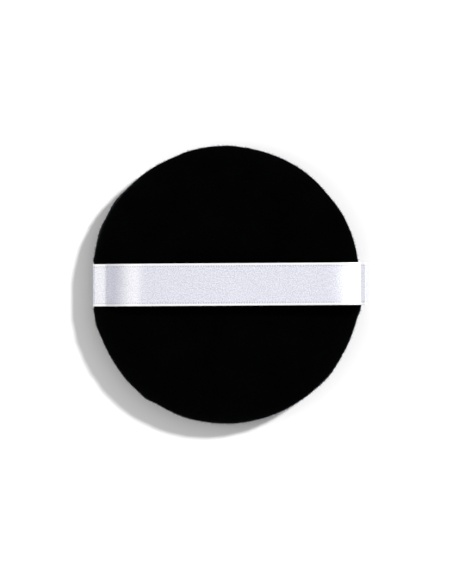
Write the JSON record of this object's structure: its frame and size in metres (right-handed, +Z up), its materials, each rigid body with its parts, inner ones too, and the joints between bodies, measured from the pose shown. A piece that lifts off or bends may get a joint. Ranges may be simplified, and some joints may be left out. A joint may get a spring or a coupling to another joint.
{
  "type": "powder puff",
  "caption": "Round black velour powder puff with a foam filling, a turned rim seam and a white satin ribbon strap that the fingers slide under.",
  "frame": {"origin": "centre of the flat middle of the powder face, on the surface that the puff rests on", "axes": "+Z up through the pad to the ribbon side, +X along the ribbon to the end that stands out past the rim, +Y across the ribbon"},
  "size_m": [0.0811, 0.081, 0.0178],
  "materials": {
    "back_velour": "short black velour pile",
    "face_velour": "short black velour pile",
    "foam": "soft open-cell foam",
    "satin": "woven satin ribbon with a plain selvedge",
    "thread": "twisted polyester sewing thread"
  },
  "bodies": {
    "pad": {"face_panel": "face_velour", "foam_core": "foam", "needle_thread": "thread", "bobbin_thread": "thread", "closing_thread": "thread"},
    "back": {"back_panel": "back_velour"},
    "strap": {"ribbon_strap": "satin"}
  },
  "joints": [
    {"name": "pad_press", "type": "slide", "parent": "pad", "child": "back", "axis": [0, 0, 1], "range_m": [-0.004, 0], "stiffness_N_per_m": 800, "deforming": ["back_panel", "foam_core"]},
    {"name": "strap_lift", "type": "slide", "parent": "pad", "child": "strap", "axis": [0, 0, 1], "range_m": [0, 0.007], "deforming": ["ribbon_strap"]}
  ]
}
